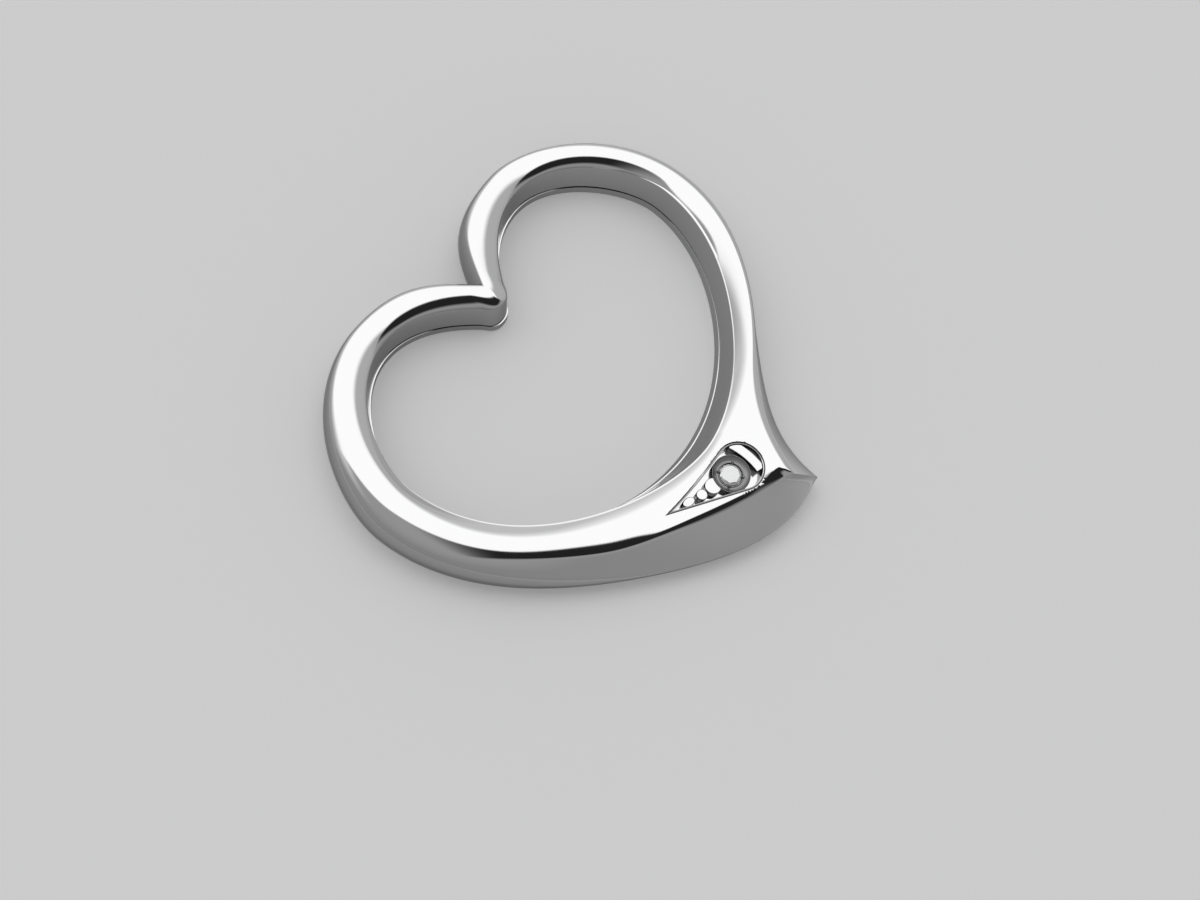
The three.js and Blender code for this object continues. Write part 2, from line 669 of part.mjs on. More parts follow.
addPiece('front_shell', makeFrontShell(), polishedSilver);
addPiece('back_plate', makeBackPlate(), polishedSilver);
addPiece('setting_cup', makeSettingCup(), satinSilver);
addPiece('collet_ring', makeColletRing(), polishedSilver);
addPiece('center_stone', makeStone(), clearStone);
addPiece('head_bar', makeHeadBar(), polishedSilver);
addPiece('tail_grain_large', makeGrain(LARGE_GRAIN), polishedSilver);
addPiece('tail_bead', makeGrain(BEAD), polishedSilver);
addPiece('tail_grain_small', makeGrain(SMALL_GRAIN), polishedSilver);

export default pendant;
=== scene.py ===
import math

import bmesh
import bpy
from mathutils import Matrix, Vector
from mathutils.bvhtree import BVHTree


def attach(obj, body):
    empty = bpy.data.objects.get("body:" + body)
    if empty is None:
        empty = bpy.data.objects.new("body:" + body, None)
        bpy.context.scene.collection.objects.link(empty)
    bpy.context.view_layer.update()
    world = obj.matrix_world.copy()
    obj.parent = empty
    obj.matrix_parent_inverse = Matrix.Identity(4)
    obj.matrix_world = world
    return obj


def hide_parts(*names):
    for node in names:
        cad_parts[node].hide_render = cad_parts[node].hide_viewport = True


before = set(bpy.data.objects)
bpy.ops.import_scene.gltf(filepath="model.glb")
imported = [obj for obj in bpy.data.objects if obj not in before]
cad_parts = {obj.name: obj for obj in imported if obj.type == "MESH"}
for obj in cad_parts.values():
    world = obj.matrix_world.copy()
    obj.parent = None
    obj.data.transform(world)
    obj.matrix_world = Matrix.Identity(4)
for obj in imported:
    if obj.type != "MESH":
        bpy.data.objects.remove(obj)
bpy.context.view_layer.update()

# Lengths are in millimetres up to the place where a mesh is made, and MM turns them into metres.
MM = 0.001

# The opening at the back face. Its halves are mirror images about x = MIDDLE_X, and each is drawn as if
# it lay to the right: the cusp, a turn, the top of the lobe, the side and the bottom.
MIDDLE_X = 0.4
OPENING = dict(cusp_y=5.36, turn_x=0.91, turn_y=6.03, turn_heading=50, lobe_x=4.72, lobe_y=8.2,
               half_width=9.2, side_y=3.44, bottom_x=0.1, bottom_y=-4.55)
OPENING_REACH = dict(cusp=0.55, turn_in=0.31, turn_out=0.31, lobe_in=0.38, lobe_out=0.39, side_in=0.25)
OPENING_LOW_REACH = dict(side=0.3, bottom=0.41)

# How far the upper rim of the inner wall stands back from the opening
RIM_SETBACK = dict(cusp=0.69, turn=0.91, lobe=0.55, side=0.17, bottom=0.69, bottom_x=0.2)
RIM_LOW_REACH = dict(side=0.42, bottom=0.24)
RIM_CUSP_HEADING = 40

# The outer outline, as the width of the band outside the opening, and then down each flank to the tip
BAND_AT_CUSP = 1.76
RIGHT_BAND = dict(cusp_heading=63, cusp=0.48, lobe=1.72, lobe_shift=-0.18, lobe_in=0.44, lobe_out=0.25,
                  side=1.61, side_shift=-0.26, side_in=0.45)
LEFT_BAND = dict(cusp_heading=53, cusp=0.41, lobe=1.69, lobe_shift=0.49, lobe_in=0.45, lobe_out=0.42,
                 side=2.41, side_shift=-0.15, side_in=0.27)
TIP = (3.3, -9.94)
TIP_ROOT_X = 0.9
LEFT_SPREAD = 0.45
RIGHT_FLANK = ((0.44,), (6.64, -4.19, -136, 0.19, 0.45), (-92, 0.35))
LEFT_FLANK = ((0.35,), (-5.17, -6.65, -40, 0.34, 0.77), (-3, 0.13))

# The crease between the top and the side of each flank
CREASE_CORNER = (2.21, -8.97)
RIGHT_CREASE = ((10.7, 3.26, -90, 0, 0.39), (5.52, -4.43, -140, 0.3, 0.4), (-109, 0.37))
LEFT_CREASE = ((-11.31, 1.79, -90, 0, 0.07), (-6.09, -4.47, -42, 0.28, 0.27), (-25, 0.3))

# Places along each half of the heart, as shares of the way from the cusp, 0, to the tip, 1
AT_LOBE_TOP = 0.2
AT_SIDE = 0.5
AT_FLANK = 0.75
ROUNDNESS_FADES = (0.25, 0.62)
SHOULDER_CHANGES = (0.5, 0.62)
CREASE_GROWS = dict(right=(0.7, 1), left=(0.55, 0.8))
FACET_GROWS = (0.76, 0.86)
FACET_WIDENS = (0.925, 0.985)
FACET_ENDS = (0.992, 1)

# The band's section: heights above the back face. The facet is the flat that is cut along the left crease.
CREST_HEIGHT = 2.1
WIDEST_HEIGHT = 0.9
WALL_HEIGHT = 1.75
RIM_HEIGHT = dict(side=1.9, right=1.58, left=1.98, tip=2.0)
CREASE_DROP = dict(right=0.06, left=0.15, facet=0.05, tip=0.06)
FACET = dict(slope=0.24, narrow=0.22, wide=0.68, corner=0.03)

# The band's section: shares, roundness and slopes
CREST_SHARE = dict(cusp=0.6, lobe=0.74, right_side=0.64, left_side=0.27, right=0.7, left=0.35, tip=0.1)
LOBE_CREASE_SHARE = 0.75
SHOULDER_SHARE = dict(lobe=0.6, least=0.4, most=0.85)
DOME_POWER = 2.5
SHOULDER_POWER = 1.7
WALL_LEAN = 0.28
WALL_SHARE = dict(start=0.12, length=0.76, fall=0.9)
RIM_POWER = 1.55
CREASE_SLOPE = dict(flank=0.3, facet=0.1)
LEAST_CREASE_POWER = 1.5
SIDE_SLOPE = 1.15
MOST_SIDE_STRAIGHT = 0.9
RIM_RADIUS = 0.12
RIM_LEDGE = 0.06
EDGE_RADIUS = 0.06
BACK_INSET = 0.4

# The seam between the front shell and the back plate
PLATE_THICKNESS = 0.4
SEAM = 0.03
PLATE_LIP = 0.05

# The pear-shaped recess
PEAR_TAIL = (-3.05, -5.6)
PEAR_HEAD = (0.9, -6.88)
PEAR_HEAD_RADIUS = 1.12
PEAR_BOW = 0.16
FIT = 0.03
CUP_RIM = 0.06
RECESS_FLOOR = 1.62

# The stone and the funnel-shaped ring round it
STONE_CENTRE = (0.43, -6.77)
STONE_RADIUS = 0.5
STONE_TABLE_RADIUS = 0.4
STONE_CROWN = 0.05
STONE_GIRDLE = 0.03
STONE_PAVILION = 0.4
STONE_FACETS = 8
STAR_RISE = 0.56
PAVILION_BREAK = dict(radius=0.45, depth=0.6)
GIRDLE_HEIGHT = 1.8
RING_RADIUS = 0.87
RING_TOP = 1.94
RING_EDGE = 0.02
LIP_WIDTH = 0.05
LIP_RISE = 0.05
LIP_SOFTENING = 0.01
GROOVE_DEPTH = 0.16
GROOVE_WIDTH = 0.02
CLAW_RADIUS = 0.07
CLAW_COUNT = 4
CLAW_OUT = 0.3
CLAW_STRETCH = 1.3
CLAW_RISE = 0.03

# The funnel's slope, as shares of the way out from the lip and of the way up from the groove
FUNNEL_SLOPE = ((0.7, 0.5), (0.35, 0.12))

# The bar across the head, which bends a little round the ring, and the grains of the tail
BAR_GAP = 0.06
BAR_WIDTH = 0.43
BAR_BEND = 3.1
BAR_SPREAD = 15
BAR_TURN = -3
BAR_TOP = 2.02
BAR_EDGE = 0.03
LARGE_GRAIN = dict(x=-0.58, y=-6.455, radius=0.37, top=2.0)
BEAD = dict(x=-1.22, y=-6.3, radius=0.25, top=2.0)
SMALL_GRAIN = dict(x=-1.86, y=-6.04, radius=0.2, top=1.98, stretch=1.5)
GRAIN_EDGE = 0.04
GRAIN_CROWN = 0.004

# How finely the pieces are drawn: stations round each half of the heart, steps across the section, and
# steps round the pear, the round pieces and their edges
STATIONS = dict(lobe_inside=60, lobe_outside=60, flank=120)
STEPS = dict(under=6, side=18, top=16, inner=16, wall=5)
PEAR_STEPS = dict(head=64, side=32)
ROUND_STEPS = 128
DISC_STEPS = 64
BAR_STEPS = 48
GRAIN_EDGE_STEPS = 6
BAR_EDGE_STEPS = 5
CLAW_STEPS = (32, 20)
SHARP_ANGLE = 35
RING_SHARP_ANGLE = 40
STONE_SHARP_ANGLE = 1
STRAIGHT_DOWN = -0.9999


def mix(a, b, share):
    return a + (b - a)*share


def share_of(x, low, high):
    return (x - low)/(high - low)


def smooth(x, low, high):
    share = min(1.0, max(0.0, share_of(x, low, high)))
    return share*share*(3 - 2*share)


def heading(degrees):
    return Vector((math.cos(math.radians(degrees)), math.sin(math.radians(degrees))))


class Path:
    """Cubic curves through knots (x, y, heading, into, out), read by the share of their length."""

    SAMPLES = 200

    def __init__(self, *knots):
        self.points = [Vector(knots[0][:2])]
        for start, end in zip(knots, knots[1:]):
            a, b = Vector(start[:2]), Vector(end[:2])
            reach = (b - a).length
            handle_a = a + heading(start[2])*reach*start[4]
            handle_b = b - heading(end[2])*reach*end[3]
            for i in range(1, self.SAMPLES + 1):
                t = i/self.SAMPLES
                u = 1 - t
                self.points.append(u**3*a + 3*u*u*t*handle_a + 3*u*t*t*handle_b + t**3*b)
        self.along = [0.0]
        for p, q in zip(self.points, self.points[1:]):
            self.along.append(self.along[-1] + (q - p).length)
        self.length = self.along[-1]

    def at(self, share):
        distance = min(max(share, 0.0), 1.0)*self.length
        low, high = 0, len(self.along) - 1
        while high - low > 1:
            middle = (low + high)//2
            if self.along[middle] <= distance:
                low = middle
            else:
                high = middle
        step = self.along[high] - self.along[low]
        return self.points[low].lerp(self.points[high], (distance - self.along[low])/step)


class InnerGuide:
    """The opening's line or the rim above it, drawn for the right half and mirrored by side = -1."""

    def __init__(self, side, setback, cusp_heading, low_reach):
        size, reach = OPENING, OPENING_REACH
        top = (size["lobe_x"], size["lobe_y"] + setback["lobe"], 0)
        widest = (size["half_width"] + setback["side"], size["side_y"], -90)
        cusp = (0, size["cusp_y"] + setback["cusp"], cusp_heading)
        turn = (size["turn_x"], size["turn_y"] + setback["turn"], size["turn_heading"])
        bottom_x = size["bottom_x"] + setback["bottom_x"]
        bottom_y = size["bottom_y"] - setback["bottom"]
        self.side = side
        self.first = Path(cusp + (0, reach["cusp"]), turn + (reach["turn_in"], reach["turn_out"]),
                          top + (reach["lobe_in"], 0))
        self.second = Path(top + (0, reach["lobe_out"]), widest + (reach["side_in"], 0))
        self.low = {}
        for way in (1, -1):
            bottom = (way*bottom_x, bottom_y, 180, low_reach["bottom"], 0)
            self.low[way] = Path(widest + (0, low_reach["side"]), bottom)

    def place(self, p, side):
        return Vector((MIDDLE_X + side*p.x, p.y))

    def at(self, t):
        if t <= AT_LOBE_TOP:
            return self.place(self.first.at(share_of(t, 0, AT_LOBE_TOP)), self.side)
        if t <= AT_SIDE:
            return self.place(self.second.at(share_of(t, AT_LOBE_TOP, AT_SIDE)), self.side)
        # The tip's root lies to the right of the middle, so the left side runs past the middle
        share = share_of(t, AT_SIDE, 1)
        own, other = self.low[self.side], self.low[-self.side]
        spread = share + LEFT_SPREAD*share*(1 - share) if self.side < 0 else share
        along = spread*(own.length - self.side*TIP_ROOT_X)
        if along <= own.length:
            return self.place(own.at(along/own.length), self.side)
        return self.place(other.at((other.length - (along - own.length))/other.length), -self.side)


class OuterGuide:
    """The outer outline of one side, from the cusp round its lobe and down its flank to the tip."""

    def __init__(self, side):
        band, flank = (RIGHT_BAND, RIGHT_FLANK) if side > 0 else (LEFT_BAND, LEFT_FLANK)
        top = (OPENING["lobe_x"] + band["lobe_shift"], OPENING["lobe_y"] + band["lobe"], 0)
        wide = (OPENING["half_width"] + band["side"], OPENING["side_y"] + band["side_shift"], -90)
        cusp = (0, OPENING["cusp_y"] + BAND_AT_CUSP, band["cusp_heading"])
        self.side = side
        self.first = Path(cusp + (0, band["cusp"]), top + (band["lobe_in"], 0))
        self.second = Path(top + (0, band["lobe_out"]), wide + (band["side_in"], 0))
        start = (MIDDLE_X + side*wide[0], wide[1], -90, 0)
        self.low = Path(start + flank[0], flank[1], TIP + flank[2] + (0,))

    def at(self, t):
        if t > AT_SIDE:
            return self.low.at(share_of(t, AT_SIDE, 1))
        if t > AT_LOBE_TOP:
            p = self.second.at(share_of(t, AT_LOBE_TOP, AT_SIDE))
        else:
            p = self.first.at(share_of(t, 0, AT_LOBE_TOP))
        return Vector((MIDDLE_X + self.side*p.x, p.y))


class CreaseGuide:
    """The crease of one flank. On the lobes, where the section is round, it only shares out the steps."""

    def __init__(self, side):
        start, middle, corner = RIGHT_CREASE if side > 0 else LEFT_CREASE
        self.path = Path(start, middle, CREASE_CORNER + corner + (0,))

    def at(self, t):
        return self.path.at(share_of(t, AT_SIDE, 1))


def form_at(side, t):
    """How the section changes from the cusp, t = 0, round to the tip, t = 1."""
    flank = "right" if side > 0 else "left"
    to_lobe, to_side = smooth(t, 0, AT_LOBE_TOP), smooth(t, AT_LOBE_TOP, AT_SIDE)
    to_flank, to_tip = smooth(t, AT_SIDE, AT_FLANK), smooth(t, AT_FLANK, 1)
    to_facet, past_facet, facet = 0, to_tip, 0
    if side < 0:
        to_facet, past_facet = smooth(t, *FACET_GROWS), smooth(t, *FACET_ENDS)
        facet = mix(FACET["narrow"]*to_facet, FACET["wide"], smooth(t, *FACET_WIDENS))*(1 - past_facet)
    share = mix(mix(CREST_SHARE["cusp"], CREST_SHARE["lobe"], to_lobe), CREST_SHARE[flank + "_side"], to_side)
    return dict(
        crest=mix(mix(share, CREST_SHARE[flank], to_flank), CREST_SHARE["tip"], to_tip),
        rim=mix(mix(RIM_HEIGHT["side"], RIM_HEIGHT[flank], to_flank), RIM_HEIGHT["tip"], to_tip),
        drop=mix(mix(CREASE_DROP[flank], CREASE_DROP["facet"], to_facet), CREASE_DROP["tip"], past_facet),
        slope=mix(CREASE_SLOPE["flank"], CREASE_SLOPE["facet"], to_facet),
        facet=facet,
        crease=smooth(t, *CREASE_GROWS[flank]),
        roundness=1 - smooth(t, *ROUNDNESS_FADES),
    )


def facet_drop(distance, width):
    """How far the facet along the left crease lies below the top, at a distance from the crease."""
    past = width - distance
    return FACET["slope"]*0.5*(past + math.hypot(past, FACET["corner"])) if width > 0 else 0.0


def dome_height(s):
    return WIDEST_HEIGHT + (CREST_HEIGHT - WIDEST_HEIGHT)*max(0.0, 1 - s**DOME_POWER)**(1/DOME_POWER)


def section(side, t, guides):
    """The outside of the band at one station, from the outer edge of the back face to the opening."""
    form = form_at(side, t)
    floor, rim, outer = (guide.at(t) for guide in guides[:3])
    crease = guides[3].at(t) if t > AT_SIDE else rim.lerp(outer, LOBE_CREASE_SHARE)
    strength, roundness = form["crease"], form["roundness"]
    across = (outer - floor).normalized()
    crest = rim.lerp(outer, form["crest"]).lerp(rim.lerp(crease, form["crest"]), strength)
    half, top_width = (outer - crest).length, (crease - crest).length
    shoulder_share = min(SHOULDER_SHARE["most"], max(SHOULDER_SHARE["least"], top_width/half))
    edge = mix(SHOULDER_SHARE["lobe"], shoulder_share, smooth(t, *SHOULDER_CHANGES))
    crease_height = CREST_HEIGHT - form["drop"] - facet_drop(0, form["facet"])
    power = max(LEAST_CREASE_POWER, top_width*form["slope"]/form["drop"])
    fall = crease_height - WIDEST_HEIGHT
    straight = min(MOST_SIDE_STRAIGHT, SIDE_SLOPE*(outer - crease).length/fall)
    points = []

    def put(p, z):
        points.append(Vector((p.x, p.y, z)))

    under = min(BACK_INSET, half)/half
    for i in range(STEPS["under"]):
        turn = i/STEPS["under"]*math.pi/2
        put(outer.lerp(crest, under*(1 - math.sin(turn))),
            WIDEST_HEIGHT*(1 - math.cos(turn)))
    for i in range(STEPS["side"]):
        v = math.cos(i/STEPS["side"]*math.pi/2)
        s = mix(edge, 1, v)
        bulge = 1 - math.sqrt(max(0.0, 1 - v*v))
        creased = crease_height - fall*(straight*v + (1 - straight)*bulge)
        put(crest.lerp(outer, s).lerp(crease.lerp(outer, v), strength),
            mix(dome_height(s), creased, strength))
    for i in range(STEPS["top"]):
        u = 1 - i/STEPS["top"]
        creased = CREST_HEIGHT - form["drop"]*u**power - facet_drop((1 - u)*top_width, form["facet"])
        put(crest.lerp(outer, edge*u).lerp(crest.lerp(crease, u), strength),
            mix(dome_height(edge*u), creased, strength))

    wall_top = form["rim"] - RIM_RADIUS
    ledge_share = 1 - RIM_LEDGE/max((crest - rim).length, 2*RIM_LEDGE)
    inner = []
    for i in range(STEPS["inner"] + 1):
        share = i/STEPS["inner"]*ledge_share
        inner.append((crest.lerp(rim, share), CREST_HEIGHT - (CREST_HEIGHT - form["rim"])*share**RIM_POWER))
    inner.append((rim.copy(), inner[-1][1]))
    inner.append((rim.lerp(floor, WALL_SHARE["start"]), wall_top))
    for i in range(1, STEPS["wall"]):
        share = i/STEPS["wall"]
        inner.append((rim.lerp(floor, WALL_SHARE["start"] + WALL_SHARE["length"]*share),
                      wall_top - wall_top*WALL_SHARE["fall"]*share))
    shelf = floor + across*WALL_LEAN
    shoulder = STEPS["inner"] + 2
    for i, (p, z) in enumerate(inner):
        if i <= shoulder:
            turn = i/shoulder*math.pi/2
            round_p = crest.lerp(shelf, math.sin(turn)**(2/SHOULDER_POWER))
            round_z = mix(WALL_HEIGHT, CREST_HEIGHT, max(0.0, math.cos(turn))**(2/SHOULDER_POWER))
        else:
            down = (i - shoulder)/STEPS["wall"]
            round_p = shelf.lerp(floor, down)
            round_z = mix(WALL_HEIGHT, EDGE_RADIUS, down)
        put(p.lerp(round_p, roundness), mix(z, round_z, roundness))
    put(floor, EDGE_RADIUS)
    put(floor + across*EDGE_RADIUS, 0)
    return points


def station_list():
    count = STATIONS
    first = [mix(0, AT_LOBE_TOP, i/count["lobe_inside"]) for i in range(count["lobe_inside"])]
    second = [mix(AT_LOBE_TOP, AT_SIDE, i/count["lobe_outside"]) for i in range(count["lobe_outside"])]
    third = [mix(AT_SIDE, 1, i/count["flank"]) for i in range(count["flank"])]
    return first + second + third


def band_rings(lip=0.0):
    """The band's sections, all the way round the heart from the cusp. A lip stands into the opening."""
    at_foot = {place: -lip for place in RIM_SETBACK}
    at_foot["bottom_x"] = 0

    def guides(side):
        return (
            InnerGuide(side, at_foot, 0, OPENING_LOW_REACH),
            InnerGuide(side, RIM_SETBACK, RIM_CUSP_HEADING, RIM_LOW_REACH),
            OuterGuide(side),
            CreaseGuide(side),
        )

    right, left = guides(1), guides(-1)
    stations = station_list()
    rings = [section(1, t, right) for t in stations + [1.0]]
    rings += [section(-1, t, left) for t in reversed(stations[1:])]
    return rings


def shade(mesh, sharp_angle=SHARP_ANGLE):
    """Smooth between the sharp edges, and flat where a face looks straight down."""
    mesh.shade_smooth()
    for face in mesh.polygons:
        face.use_smooth = face.normal.z > STRAIGHT_DOWN
    mesh.set_sharp_from_angle(angle=math.radians(sharp_angle))


def new_object(name, bm, sharp_angle=SHARP_ANGLE):
    """Makes an object in metres from a mesh in millimetres, with its faces turned outwards."""
    mesh = bpy.data.meshes.new(name)
    bmesh.ops.recalc_face_normals(bm, faces=bm.faces)
    for vertex in bm.verts:
        vertex.co *= MM
    bm.to_mesh(mesh)
    bm.free()
    shade(mesh, sharp_angle)
    made = bpy.data.objects.new(name, mesh)
    bpy.context.collection.objects.link(made)
    return made


def join_rows(bm, rows, followers):
    """Faces between each closed row of vertices and its follower."""
    for row, following in zip(rows, followers):
        for j in range(len(row)):
            k = (j + 1) % len(row)
            bm.faces.new((row[j], row[k], following[k], following[j]))


def loop_mesh(rings):
    """Closed rings joined all the way round, as one closed body."""
    bm = bmesh.new()
    rows = [[bm.verts.new(p) for p in ring] for ring in rings]
    join_rows(bm, rows, rows[1:] + rows[:1])
    return bm


def finish_piece(piece, node, material):
    piece.data.materials.clear()
    piece.data.materials.append(material)
    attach(piece, "root")
    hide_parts(node)
    return piece


# Materials
def shader(name):
    material = bpy.data.materials.new(name)
    material.use_nodes = True
    tree = material.node_tree
    bsdf = tree.nodes["Principled BSDF"]
    return material, tree, bsdf


# Painted shade: steep sides get only a share of the full tone, so they mirror darker as if they stood in
# shade. The two heights of the normal are where that ends and the full tone begins. The edge tint tones down
# what a surface mirrors where it is seen edge on.
PAINTED_SIDE_SHADE = dict(upright=0.5, sloping=0.95, share=0.4)
EDGE_TINT = (0.6, 0.6, 0.6, 1)
SILVER_COLOUR = (0.93, 0.93, 0.935)
# The satin colour is darker than the silver's: painted shade that darkens what the ring mirrors, besides its
# rougher satin polish
SATIN_SHADED_COLOUR = (0.46, 0.46, 0.462)
POLISH_CLOUD = dict(scale=260, detail=3, least=0.7, most=1.4)
SCRATCHES = dict(turn=37, narrowing=14, detail=5, strength=0.5)
STONE_LOOK = dict(metallic=0.5, roughness=0.08, ior=2.2, specular=0.9, clear=0.08, cloud_scale=1800)
STONE_TINTS = ((0.93, 0.94, 0.95, 1), (1, 1, 1, 1))


def silver(name, colour, roughness, scratch_scale, scratch_depth):
    """Silver with painted shade on its steep sides, an uneven polish, and fine scratches that bend what it
    mirrors.
    """
    material, tree, bsdf = shader(name)
    bsdf.inputs["Metallic"].default_value = 1
    bsdf.inputs["Specular Tint"].default_value = EDGE_TINT
    place = tree.nodes.new("ShaderNodeTexCoord")
    parts = tree.nodes.new("ShaderNodeSeparateXYZ")
    tree.links.new(place.outputs["Normal"], parts.inputs["Vector"])
    upright = tree.nodes.new("ShaderNodeMapRange")
    upright.interpolation_type = "SMOOTHSTEP"
    upright.inputs["From Min"].default_value = PAINTED_SIDE_SHADE["upright"]
    upright.inputs["From Max"].default_value = PAINTED_SIDE_SHADE["sloping"]
    steepness = tree.nodes.new("ShaderNodeMath")
    steepness.operation = "ABSOLUTE"
    tree.links.new(parts.outputs["Z"], steepness.inputs[0])
    tree.links.new(steepness.outputs[0], upright.inputs["Value"])
    # Painted shade: on steep sides the colour falls to a share of the full colour
    tone = tree.nodes.new("ShaderNodeMix")
    tone.data_type = "RGBA"
    tone.inputs["A"].default_value = tuple(PAINTED_SIDE_SHADE["share"]*c for c in colour) + (1,)
    tone.inputs["B"].default_value = colour + (1,)
    tree.links.new(upright.outputs["Result"], tone.inputs["Factor"])
    tree.links.new(tone.outputs["Result"], bsdf.inputs["Base Color"])
    cloud = tree.nodes.new("ShaderNodeTexNoise")
    cloud.inputs["Scale"].default_value = POLISH_CLOUD["scale"]
    cloud.inputs["Detail"].default_value = POLISH_CLOUD["detail"]
    tree.links.new(place.outputs["Object"], cloud.inputs["Vector"])
    polish = tree.nodes.new("ShaderNodeMapRange")
    polish.inputs["To Min"].default_value = roughness*POLISH_CLOUD["least"]
    polish.inputs["To Max"].default_value = roughness*POLISH_CLOUD["most"]
    tree.links.new(cloud.outputs["Fac"], polish.inputs["Value"])
    tree.links.new(polish.outputs["Result"], bsdf.inputs["Roughness"])
    stretch = tree.nodes.new("ShaderNodeMapping")
    stretch.inputs["Rotation"].default_value = (0, 0, math.radians(SCRATCHES["turn"]))
    stretch.inputs["Scale"].default_value = (1, SCRATCHES["narrowing"], 1)
    tree.links.new(place.outputs["Object"], stretch.inputs["Vector"])
    scratches = tree.nodes.new("ShaderNodeTexNoise")
    scratches.inputs["Scale"].default_value = scratch_scale
    scratches.inputs["Detail"].default_value = SCRATCHES["detail"]
    tree.links.new(stretch.outputs["Vector"], scratches.inputs["Vector"])
    bump = tree.nodes.new("ShaderNodeBump")
    bump.inputs["Strength"].default_value = SCRATCHES["strength"]
    bump.inputs["Distance"].default_value = scratch_depth
    tree.links.new(scratches.outputs["Fac"], bump.inputs["Height"])
    tree.links.new(bump.outputs["Normal"], bsdf.inputs["Normal"])
    return material


def clear_stone():
    """A bright stone: clear facets over a pale, faintly clouded body."""
    material, tree, bsdf = shader("clear_stone")
    bsdf.inputs["Metallic"].default_value = STONE_LOOK["metallic"]
    bsdf.inputs["Roughness"].default_value = STONE_LOOK["roughness"]
    bsdf.inputs["IOR"].default_value = STONE_LOOK["ior"]
    bsdf.inputs["Specular IOR Level"].default_value = STONE_LOOK["specular"]
    bsdf.inputs["Transmission Weight"].default_value = STONE_LOOK["clear"]
    place = tree.nodes.new("ShaderNodeTexCoord")
    cloud = tree.nodes.new("ShaderNodeTexNoise")
    cloud.inputs["Scale"].default_value = STONE_LOOK["cloud_scale"]
    tree.links.new(place.outputs["Object"], cloud.inputs["Vector"])
    tint = tree.nodes.new("ShaderNodeMix")
    tint.data_type = "RGBA"
    tint.inputs["A"].default_value, tint.inputs["B"].default_value = STONE_TINTS
    tree.links.new(cloud.outputs["Fac"], tint.inputs["Factor"])
    tree.links.new(tint.outputs["Result"], bsdf.inputs["Base Color"])
    return material


polished = silver("polished_silver", SILVER_COLOUR, roughness=0.05, scratch_scale=900, scratch_depth=6e-7)
bright_cut = silver("bright_cut_silver", SILVER_COLOUR,
                    roughness=0.09, scratch_scale=1500, scratch_depth=1e-6)
# Satin polish with painted shade: the darker colour darkens what the ring mirrors
satin_and_painted_shade = silver("satin_silver", SATIN_SHADED_COLOUR, roughness=0.42, scratch_scale=1800, scratch_depth=2e-6)
stone_look = clear_stone()


# Tools that cut and join bodies
def slab_object(low, high):
    """A slab between two heights that reaches past the heart on all sides."""
    size = 4*(OPENING["half_width"] + LEFT_BAND["side"])
    bm = bmesh.new()
    bmesh.ops.create_cube(bm, size=1)
    for vertex in bm.verts:
        vertex.co = Vector((vertex.co.x*size, vertex.co.y*size, mix(low, high, vertex.co.z + 0.5)))
    return new_object("cutter", bm)


def combine(target, tool, operation):
    """Joins or cuts with a tool, keeps the result as the target's own mesh and removes the tool."""
    cut = target.modifiers.new("cut", "BOOLEAN")
    cut.operation = operation
    cut.solver = "EXACT"
    cut.object = tool
    graph = bpy.context.evaluated_depsgraph_get()
    mesh = bpy.data.meshes.new_from_object(target.evaluated_get(graph))
    target.modifiers.clear()
    old = target.data
    target.data = mesh
    bpy.data.meshes.remove(old)
    bpy.data.objects.remove(tool)
    return target


def layered(levels):
    """A closed body from levels of outlines (a list of plan points, and a height or a height for each)."""
    bm = bmesh.new()
    rows = []
    for outline, height in levels:
        rows.append([bm.verts.new((p.x, p.y, height(p) if callable(height) else height)) for p in outline])
    join_rows(bm, rows, rows[1:])
    bm.faces.new(rows[0])
    bm.faces.new(rows[-1])
    return bm


def pear_outline(inset):
    """The pear in plan, drawn in by an inset: its head, its bowed side, its point and its straight side."""
    tail, head = Vector(PEAR_TAIL), Vector(PEAR_HEAD)
    axis = head - tail
    length = axis.length
    axis.normalize()
    side = Vector((-axis.y, axis.x))
    lean = math.asin(PEAR_HEAD_RADIUS/length)
    radius = PEAR_HEAD_RADIUS - inset
    point = tail + axis*inset/math.sin(lean)

    def head_at(angle):
        return head + axis*radius*math.cos(angle) + side*radius*math.sin(angle)

    half_turn = math.pi/2 + lean
    around, along = PEAR_STEPS["head"], PEAR_STEPS["side"]
    points = [head_at(-half_turn + 2*half_turn*i/around) for i in range(around + 1)]
    start = head_at(half_turn)
    pull = start.lerp(point, 0.5) - side*PEAR_BOW
    for i in range(1, along):
        t = i/along
        points.append((1 - t)**2*start + 2*t*(1 - t)*pull + t*t*point)
    points.append(point)
    for i in range(1, along):
        points.append(point.lerp(points[0], i/along))
    return points


def pear_prism(inset, low, high):
    return new_object("cutter", layered([(pear_outline(inset), low), (pear_outline(inset), high)]))


def ring_of(centre, radius, count, turn=0.0):
    return [centre + radius*heading(turn + 360*i/count) for i in range(count)]


def round_prism(radius, low, high):
    outline = ring_of(Vector(STONE_CENTRE), radius, ROUND_STEPS)
    return new_object("cutter", layered([(outline, low), (outline, high)]))


def turned(profile):
    """A body turned round the upright axis of the stone, from (radius, height) points."""
    centre = Vector(STONE_CENTRE)
    return loop_mesh([[(p.x, p.y, z) for p in ring_of(centre, r, ROUND_STEPS)] for r, z in profile])


def surface_height(band):
    """How high the band's top lies over a place in plan, looked at from well above it."""
    tree = BVHTree.FromBMesh(band)
    well_above = 10

    def height(p):
        hit = tree.ray_cast(Vector((p.x, p.y, well_above)), Vector((0, 0, -1)))[0]
        return hit.z if hit else CREST_HEIGHT
    return height


# The pieces
EDGE_SOFTENING = 0.02
PEAR_TURN = math.degrees(math.atan2(PEAR_HEAD[1] - PEAR_TAIL[1], PEAR_HEAD[0] - PEAR_TAIL[0]))
RECESS_INSET = CUP_RIM + 2*FIT

band = loop_mesh(band_rings())
top_of = surface_height(band)


